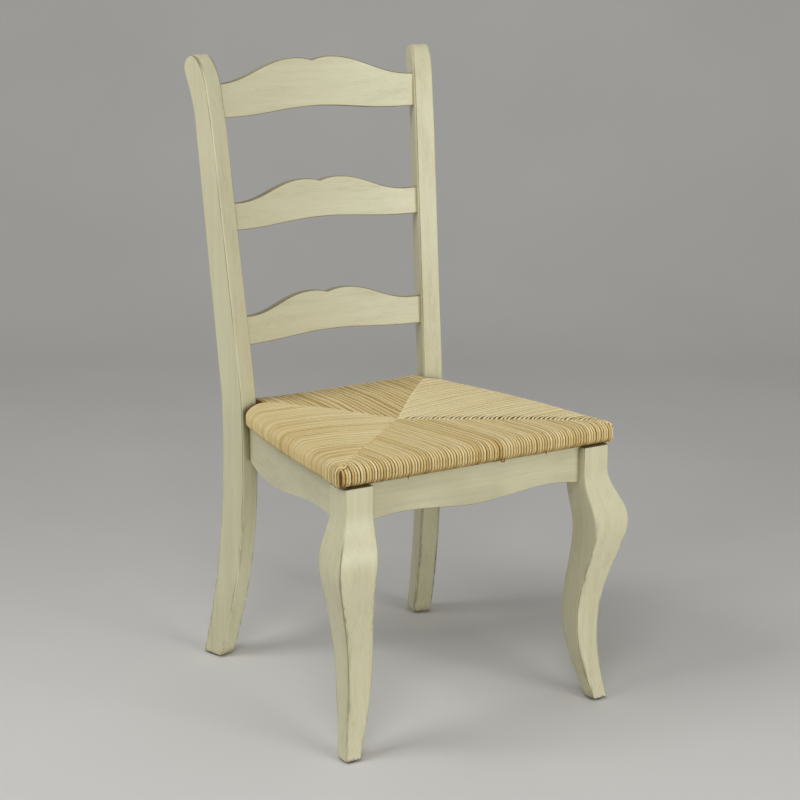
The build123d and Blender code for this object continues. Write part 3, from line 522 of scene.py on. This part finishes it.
class Panel:
    """One of the four panels of the seat. A strand lies at w along the edge, and d is a distance inward."""

    def __init__(self, name):
        self.name = name
        number = PANELS.index(name)
        self.ends = (number, (number + 1) % 4)
        self.axis = 0 if name in ("front", "rear") else 1
        self.inward = Vector(((0, 1), (-1, 0), (0, -1), (1, 0))[number])
        if name == "front":
            self.low, self.high = -SEAT_FRONT_HALF + FIRST_STRAND_INSET, SEAT_FRONT_HALF - FIRST_STRAND_INSET
        elif name == "rear":
            self.low, self.high = -SEAT_NOTCH_HALF - REAR_STRAND_SPREAD, SEAT_NOTCH_HALF + REAR_STRAND_SPREAD
        else:
            self.low, self.high = FIRST_STRAND_INSET, SEAT_SIDE_LENGTH - LAST_STRAND_INSET

    def point(self, w, d):
        """Across and back at a distance d in from the edge."""
        if self.name == "front":
            return Vector((w, front_edge(w) + d))
        if self.name == "rear":
            return Vector((w, rear_edge(w) - d))
        if self.name == "left":
            return Vector((d - side_edge(w), w))
        return Vector((side_edge(w) - d, w))

    def reach(self, w):
        """Distance from the edge to the seam, which runs from a corner to the centre of the weave."""
        across = 1 - self.axis
        middle = SEAM_CENTRE[self.axis]
        first, second = (SEAT_CORNERS[end] for end in self.ends)
        corner = first if (w < middle) == (first[self.axis] < middle) else second
        share = (w - corner[self.axis]) / (middle - corner[self.axis])
        seam = corner[across] + (SEAM_CENTRE[across] - corner[across]) * share
        return abs(seam - self.point(w, 0.0)[across])

    def fall(self, place):
        """Share of the way down from the roll to the centre of the weave, eased at the roll."""
        first, second = (ROLL_CORNERS[end] for end in self.ends)
        run = second - first
        share = run.cross(place - first) / run.cross(SEAM_CENTRE - first)
        return 0.5 * (share + math.sqrt(share * share + DISH_EASING))

    def top(self, w, d):
        """Height of the upper layer."""
        place = self.point(w, d)
        fall = self.fall(place)
        notch = min((place - corner).length for corner in SEAT_CORNERS[2:])
        heap = POST_HEAP * math.exp(-((notch / POST_HEAP_REACH) ** 2))
        crown = 0.0
        if self.axis == 1:
            crown = SIDE_CROWN * (1 - (2 * w / SEAT_SIDE_LENGTH - 1) ** 2) * max(0.0, 1 - fall)
        return SEAT_THICKNESS - SEAT_DISH * fall + crown + heap

    def bottom(self, w, d):
        """Height of the lower layer."""
        return SEAT_UNDERSIDE_DISH * self.fall(self.point(w, d))

    def roll(self, w):
        """Reach and drop of the rounded edge on top, then its reach and rise below."""
        full = (ROLL_TOP_REACH, ROLL_TOP_DROP, ROLL_BOTTOM_REACH, ROLL_BOTTOM_RISE)
        if self.axis == 0:
            return full
        share = min(w / CORNER_ROLL_LENGTH, 1.0)
        return tuple(blend(tight, wide, share) for tight, wide in zip(CORNER_ROLL, full))

    def outline(self, w, reach):
        """Outer line of the rush, from the seam on top, round the edge, to the seam below.

        Each place is (d, z, turn), and turn goes from 0 on top through 1 at the edge to 2 below.
        """
        top_reach, top_drop, bottom_reach, bottom_rise = self.roll(w)
        line = []
        run = reach - top_reach
        steps = max(0, round(run / STRAND_STEP))
        for step in range(steps):
            d = reach - run * step / steps
            line.append((d, self.top(w, d), 0.0))
        top_level = self.top(w, top_reach)
        side_level = SEAT_THICKNESS - top_drop
        first_turn = math.asin(max(0.0, 1 - reach / top_reach))
        for step in range(ROLL_STEPS + 1):
            turn = blend(first_turn, math.pi / 2, step / ROLL_STEPS)
            d = top_reach * (1 - math.sin(turn))
            line.append((d, blend(side_level, top_level, math.cos(turn)), math.sin(turn)))
        bottom_level = self.bottom(w, bottom_reach)
        last_turn = math.acos(max(0.0, 1 - reach / bottom_reach))
        for step in range(ROLL_STEPS + 1):
            turn = last_turn * step / ROLL_STEPS
            d = bottom_reach * (1 - math.cos(turn))
            line.append((d, blend(bottom_rise, bottom_level, math.sin(turn)), 1.0 + math.sin(turn)))
        run = reach - bottom_reach
        steps = max(0, round(run / (2 * STRAND_STEP)))
        for step in range(1, steps + 1):
            d = bottom_reach + run * step / steps
            line.append((d, self.bottom(w, d), 2.0))
        return line

    def seam(self, w):
        """How the strand at w ends at its seam."""
        return SEAM_ENDS[self.name][int(w > SEAM_CENTRE[self.axis])]


class Tubes:
    """A mesh of strands, each a tube with a flattened section that is closed at both ends."""

    def __init__(self):
        self.vertices = []
        self.faces = []
        self.tones = []
        self.coordinates = []

    def add(self, points, normals, sizes, tones):
        """Add a strand along points, with half of its width and height and its tone at each of them."""
        start = len(self.vertices)
        lengths = [tones[0] * 7.0]
        for number, point in enumerate(points):
            ahead = points[min(number + 1, len(points) - 1)] - points[max(number - 1, 0)]
            across = ahead.cross(normals[number]).normalized()
            half_width, half_height = sizes[number]
            for corner in range(STRAND_SIDES):
                turn = 2 * math.pi * corner / STRAND_SIDES
                sideways = across * (half_width * math.cos(turn))
                upward = normals[number] * (half_height * math.sin(turn))
                self.vertices.append(point + sideways + upward)
                self.tones.append(tones[number])
            if number:
                lengths.append(lengths[-1] + (point - points[number - 1]).length)
        for ring in range(len(points) - 1):
            near = start + ring * STRAND_SIDES
            far = near + STRAND_SIDES
            for corner in range(STRAND_SIDES):
                following = (corner + 1) % STRAND_SIDES
                self.faces.append((near + corner, near + following, far + following, far + corner))
                left, right = corner / STRAND_SIDES, (corner + 1) / STRAND_SIDES
                self.coordinates += [(left, lengths[ring]), (right, lengths[ring])]
                self.coordinates += [(right, lengths[ring + 1]), (left, lengths[ring + 1])]
        for ring, length in ((0, lengths[0]), (len(points) - 1, lengths[-1])):
            rim = [start + ring * STRAND_SIDES + corner for corner in range(STRAND_SIDES)]
            self.faces.append(rim if ring else rim[::-1])
            self.coordinates += [(corner / STRAND_SIDES, length) for corner in range(STRAND_SIDES)]

    def build(self, name, material):
        """Make the piece, with each strand's tone and lengthwise coordinates."""
        mesh = bpy.data.meshes.new(name)
        mesh.from_pydata(self.vertices, [], self.faces)
        mesh.attributes.new("tone", "FLOAT", "POINT").data.foreach_set("value", self.tones)
        layer = mesh.uv_layers.new(name="strand")
        layer.data.foreach_set("uv", [value for pair in self.coordinates for value in pair])
        return finish_mesh(name, mesh, material)


def finish_mesh(name, mesh, material):
    """Turn the faces outward, smooth them and put the mesh into the scene as a piece that rides the chair."""
    work = bmesh.new()
    work.from_mesh(mesh)
    bmesh.ops.recalc_face_normals(work, faces=work.faces)
    work.to_mesh(mesh)
    work.free()
    mesh.polygons.foreach_set("use_smooth", [True] * len(mesh.polygons))
    mesh.materials.append(material)
    obj = bpy.data.objects.new(name, mesh)
    bpy.context.scene.collection.objects.link(obj)
    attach(obj, "root")
    return obj


def build_strands(panel, material, rng):
    """The strands of one panel, side by side along its edge."""
    tubes = Tubes()
    count = round((panel.high - panel.low) / STRAND_PITCH[panel.name])
    pitch = (panel.high - panel.low) / count
    lower = 0
    for number in range(count):
        w = panel.low + (number + 0.5 + rng.uniform(-STRAND_SHIFT, STRAND_SHIFT)) * pitch
        tone = rng.gauss(STRAND_TONE_AND_LIGHT[panel.name], STRAND_TONE_SPREAD[panel.name])
        tone = min(max(tone, TONE_LIMITS[0]), TONE_LIMITS[1])
        # Painted shadow on the rear strands beside the left post
        if panel.name == "rear":
            tone -= POST_SHADOW * max(0.0, 1 - number / POST_SHADOW_STRANDS)
        lower = 1 - lower if rng.random() < PAIR_CHANGE else lower
        width_factor = 1 + rng.uniform(-STRAND_WIDTH_SPREAD, STRAND_WIDTH_SPREAD)
        lift = rng.uniform(-STRAND_LIFT, STRAND_LIFT)
        end = panel.seam(w)
        bends = panel.name == "right" and end is SEAM_OVER
        end_bend = min(SEAM_BEND, SEAM_BEND_SHARE * w) if bends else 0.0
        spread = rng.uniform(-STRAND_END_SPREAD, STRAND_END_SPREAD)
        reach = max(panel.reach(w - end_bend) + end["overlap"] + spread, LEAST_REACH)
        line = panel.outline(w, reach)
        corner = max(0.0, 1 - w / CORNER_ROLL_LENGTH) if panel.axis == 1 else 0.0
        points, normals, sizes, tones = [], [], [], []
        for spot, (d, z, turn) in enumerate(line):
            roll = min(turn, 1.0)
            before, after = line[max(spot - 1, 0)], line[min(spot + 1, len(line) - 1)]
            slope = Vector((after[1] - before[1], before[0] - after[0])).normalized()
            normal = seat_turn(panel.inward * slope.x, slope.y)
            seam = min(max((reach - d) / end["length"], 0.0), 1.0)
            half_width = blend(STRAND_FLAT_WIDTH[panel.name], STRAND_EDGE_WIDTH, roll) * width_factor
            half_height = blend(STRAND_FLAT_HEIGHT, STRAND_EDGE_HEIGHT, roll)
            half_width *= blend(end["taper"], 1.0, seam)
            half_width *= 1 - lower * PAIR_NARROWING[panel.name] * (1 - roll) * seam
            half_width *= 1 - CORNER_NARROWING * corner * roll
            sunk = half_height + (1 - seam) ** 2 * end["dive"] - lift * (1 - roll)
            wander = WANDER * noise.noise(Vector((d * WANDER_SCALE, number * WANDER_STEP, SEED)))
            wander *= 1 - WANDER_EASING * roll
            bend = end_bend * (1 - seam) ** 2
            place = panel.point(w + wander - bend, d)
            points.append(seat_place(place.x, place.y, z) - normal * sunk)
            normals.append(normal)
            sizes.append((half_width, half_height))
            pair_tone = PAIR_CONTRAST[panel.name] * (0.5 - lower) * (1 - roll) * seam
            fade = STRAND_FADE[panel.name] * (min(d / FADE_LENGTH, 1.0) - FADE_MIDDLE) * (1 - roll)
            corner_tone = (CORNER_CONTRAST * (0.5 - lower) + CORNER_PALING) * corner * roll
            tones.append(tone + pair_tone + corner_tone + fade - EDGE_DARKENING * turn**2)
        tubes.add(points, normals, sizes, tones)
    if panel.name == "front":
        add_curl(tubes)
        for x in FIBRE_PLACES:
            add_fibre(tubes, x, rng)
    strands = tubes.build(f"rush_{panel.name}_strands", material)
    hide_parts(f"rush_{panel.name}")


def add_curl(tubes):
    """The end of a strand, curled round the gap where two panels meet at the front left corner."""
    outward = Vector((-1, -1)).normalized()
    centre = Vector((CURL_INSET - SEAT_FRONT_HALF, CURL_INSET))
    normal = seat_turn(outward * CURL_LEAN[0], CURL_LEAN[1])
    points, normals, sizes, tones = [], [], [], []
    for step in range(CURL_STEPS + 1):
        share = step / CURL_STEPS
        turn = math.radians(blend(*CURL_TURN, share))
        flat = outward * math.cos(turn) + Vector((-outward.y, outward.x)) * math.sin(turn)
        level = SEAT_THICKNESS - CURL_SINK - CURL_TILT * math.cos(turn) - CURL_END_SINK * (2 * share - 1) ** 6
        place = centre + flat * CURL_RADIUS
        points.append(seat_place(place.x, place.y, level))
        normals.append(normal)
        sizes.append((CURL_HALF_WIDTH, CURL_HALF_WIDTH))
        tones.append(CURL_TONE)
    tubes.add(points, normals, sizes, tones)


def add_fibre(tubes, x, rng):
    """A broken fibre that hangs out below the front edge."""
    lean = rng.choice((-1, 1)) * rng.uniform(0.7, 1.1)
    back, up = FIBRE_ROOT
    points, sizes = [], []
    for step in range(FIBRE_STEPS + 1):
        share = step / FIBRE_STEPS
        drop = FIBRE_DROP * math.sin(math.pi * 0.6 * share)
        points.append(seat_place(x + lean * FIBRE_LENGTH * share, back - FIBRE_OUTWARD * share, up - drop))
        sizes.append((blend(*FIBRE_HALF_WIDTHS, share),) * 2)
    normals = [Vector((0, -1, 0))] * len(points)
    tubes.add(points, normals, sizes, [FIBRE_TONE] * len(points))


def build_stuffing(panel, material):
    """The pad of broken rush between the layers of one panel."""
    mirror = Vector((-1, 1))
    corners = [STUFFING_FRONT * mirror, STUFFING_FRONT, STUFFING_REAR, STUFFING_REAR * mirror]
    first, second = (corners[end] for end in panel.ends)
    columns, rows = STUFFING_COLUMNS, STUFFING_ROWS
    vertices, faces = [], []
    for side, level in ((1, SEAT_THICKNESS), (-1, 0.0)):
        for row in range(rows + 1):
            for column in range(columns + 1):
                edge = first.lerp(second, column / columns)
                place = edge.lerp(SEAM_CENTRE, STUFFING_REACH * row / rows)
                dish = (SEAT_DISH if side > 0 else -SEAT_UNDERSIDE_DISH) * panel.fall(place)
                grain = Vector((place.x * STUFFING_GRAIN, place.y * STUFFING_GRAIN, side))
                rough = noise.noise(grain) * STUFFING_ROUGHNESS
                z = level - dish - side * STUFFING_DEPTH + rough
                vertices.append(seat_place(place.x, place.y, z))
    layer = (rows + 1) * (columns + 1)
    for base in (0, layer):
        for row in range(rows):
            for column in range(columns):
                corner = base + row * (columns + 1) + column
                faces.append((corner, corner + 1, corner + columns + 2, corner + columns + 1))
    rim = list(range(columns + 1))
    rim += [row * (columns + 1) + columns for row in range(1, rows + 1)]
    rim += [rows * (columns + 1) + column for column in reversed(range(columns))]
    rim += [row * (columns + 1) for row in reversed(range(1, rows))]
    for number, corner in enumerate(rim):
        following = rim[(number + 1) % len(rim)]
        faces.append((corner, following, following + layer, corner + layer))
    mesh = bpy.data.meshes.new(f"stuffing_{panel.name}_pad")
    mesh.from_pydata(vertices, [], faces)
    pad = finish_mesh(mesh.name, mesh, material)
    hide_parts(f"stuffing_{panel.name}")


strand_material = rush_strands("rush_strands")
stuffing_material = shaded_packed_rush("shaded_packed_rush")
rng = random.Random(SEED)
for panel_name in PANELS:
    seat_panel = Panel(panel_name)
    build_strands(seat_panel, strand_material, rng)
    build_stuffing(seat_panel, stuffing_material)


# Floor, light and camera
def floor_material():
    """Pale and matt."""
    surface = Surface("pale_floor")
    cloud = surface.noise(surface.place((1, 1, 1)), 2.0, 2.0, 0.5)
    surface.shade(
        Base_Color=surface.ramp(cloud, (0.3, srgb(220, 219, 216)), (0.7, srgb(224, 223, 220))),
        Roughness=0.9,
    )
    return surface.material


def build_floor():
    """A floor that sweeps up into a wall behind the chair, square to the camera."""
    view = Vector((CAMERA_TARGET[0] - CAMERA_PLACE[0], CAMERA_TARGET[1] - CAMERA_PLACE[1], 0)).normalized()
    side = Vector((view.y, -view.x, 0))
    profile = [(SWEEP_FRONT, 0.0), (SWEEP_START, 0.0)]
    for step in range(1, SWEEP_STEPS + 1):
        turn = math.pi / 2 * step / SWEEP_STEPS
        profile.append((SWEEP_START + SWEEP_RADIUS * math.sin(turn), SWEEP_RADIUS * (1 - math.cos(turn))))
    profile.append((SWEEP_START + SWEEP_RADIUS, SWEEP_HEIGHT))
    vertices = []
    for run, height in profile:
        for end in (-1, 1):
            vertices.append(view * run + side * (end * SWEEP_HALF_WIDTH) + Vector((0, 0, height)))
    faces = [(2 * n, 2 * n + 1, 2 * n + 3, 2 * n + 2) for n in range(len(profile) - 1)]
    mesh = bpy.data.meshes.new("floor")
    mesh.from_pydata(vertices, [], faces)
    mesh.polygons.foreach_set("use_smooth", [True] * len(faces))
    mesh.materials.append(floor_material())
    floor = bpy.data.objects.new("floor", mesh)
    bpy.context.scene.collection.objects.link(floor)


build_floor()

world = bpy.data.worlds.new("studio")
world.use_nodes = True
background = world.node_tree.nodes["Background"]
background.inputs["Color"].default_value = WORLD_COLOUR
background.inputs["Strength"].default_value = WORLD_STRENGTH
bpy.context.scene.world = world


def add_light(name, place, target, size, energy, colour=(1.0, 1.0, 1.0)):
    """A square lamp that is turned to its target."""
    light = bpy.data.lights.new(name, "AREA")
    light.shape = "SQUARE"
    light.size = size
    light.energy = energy
    light.color = colour
    obj = bpy.data.objects.new(name, light)
    obj.location = place
    obj.rotation_euler = (Vector(target) - Vector(place)).to_track_quat("-Z", "Y").to_euler()
    bpy.context.scene.collection.objects.link(obj)


add_light(
    "key", place=(0.7, -3.0, 1.1), target=(0, 0, 0.5), size=1.4, energy=33.0, colour=(1.0, 0.995, 0.98)
)
add_light("side", place=(-2.0, 0.1, 2.2), target=(0, 0, 0.6), size=1.2, energy=24.0)
add_light("front", place=(-1.6, -2.2, 3.2), target=(0, 0, 0.5), size=1.3, energy=30.0)

camera_data = bpy.data.cameras.new("camera")
camera_data.lens = CAMERA_LENS
camera_data.sensor_width = 36.0
camera = bpy.data.objects.new("camera", camera_data)
camera.location = CAMERA_PLACE
camera.rotation_euler = (Vector(CAMERA_TARGET) - Vector(CAMERA_PLACE)).to_track_quat("-Z", "Y").to_euler()
bpy.context.scene.collection.objects.link(camera)
bpy.context.scene.camera = camera
bpy.context.scene.view_settings.view_transform = "Standard"
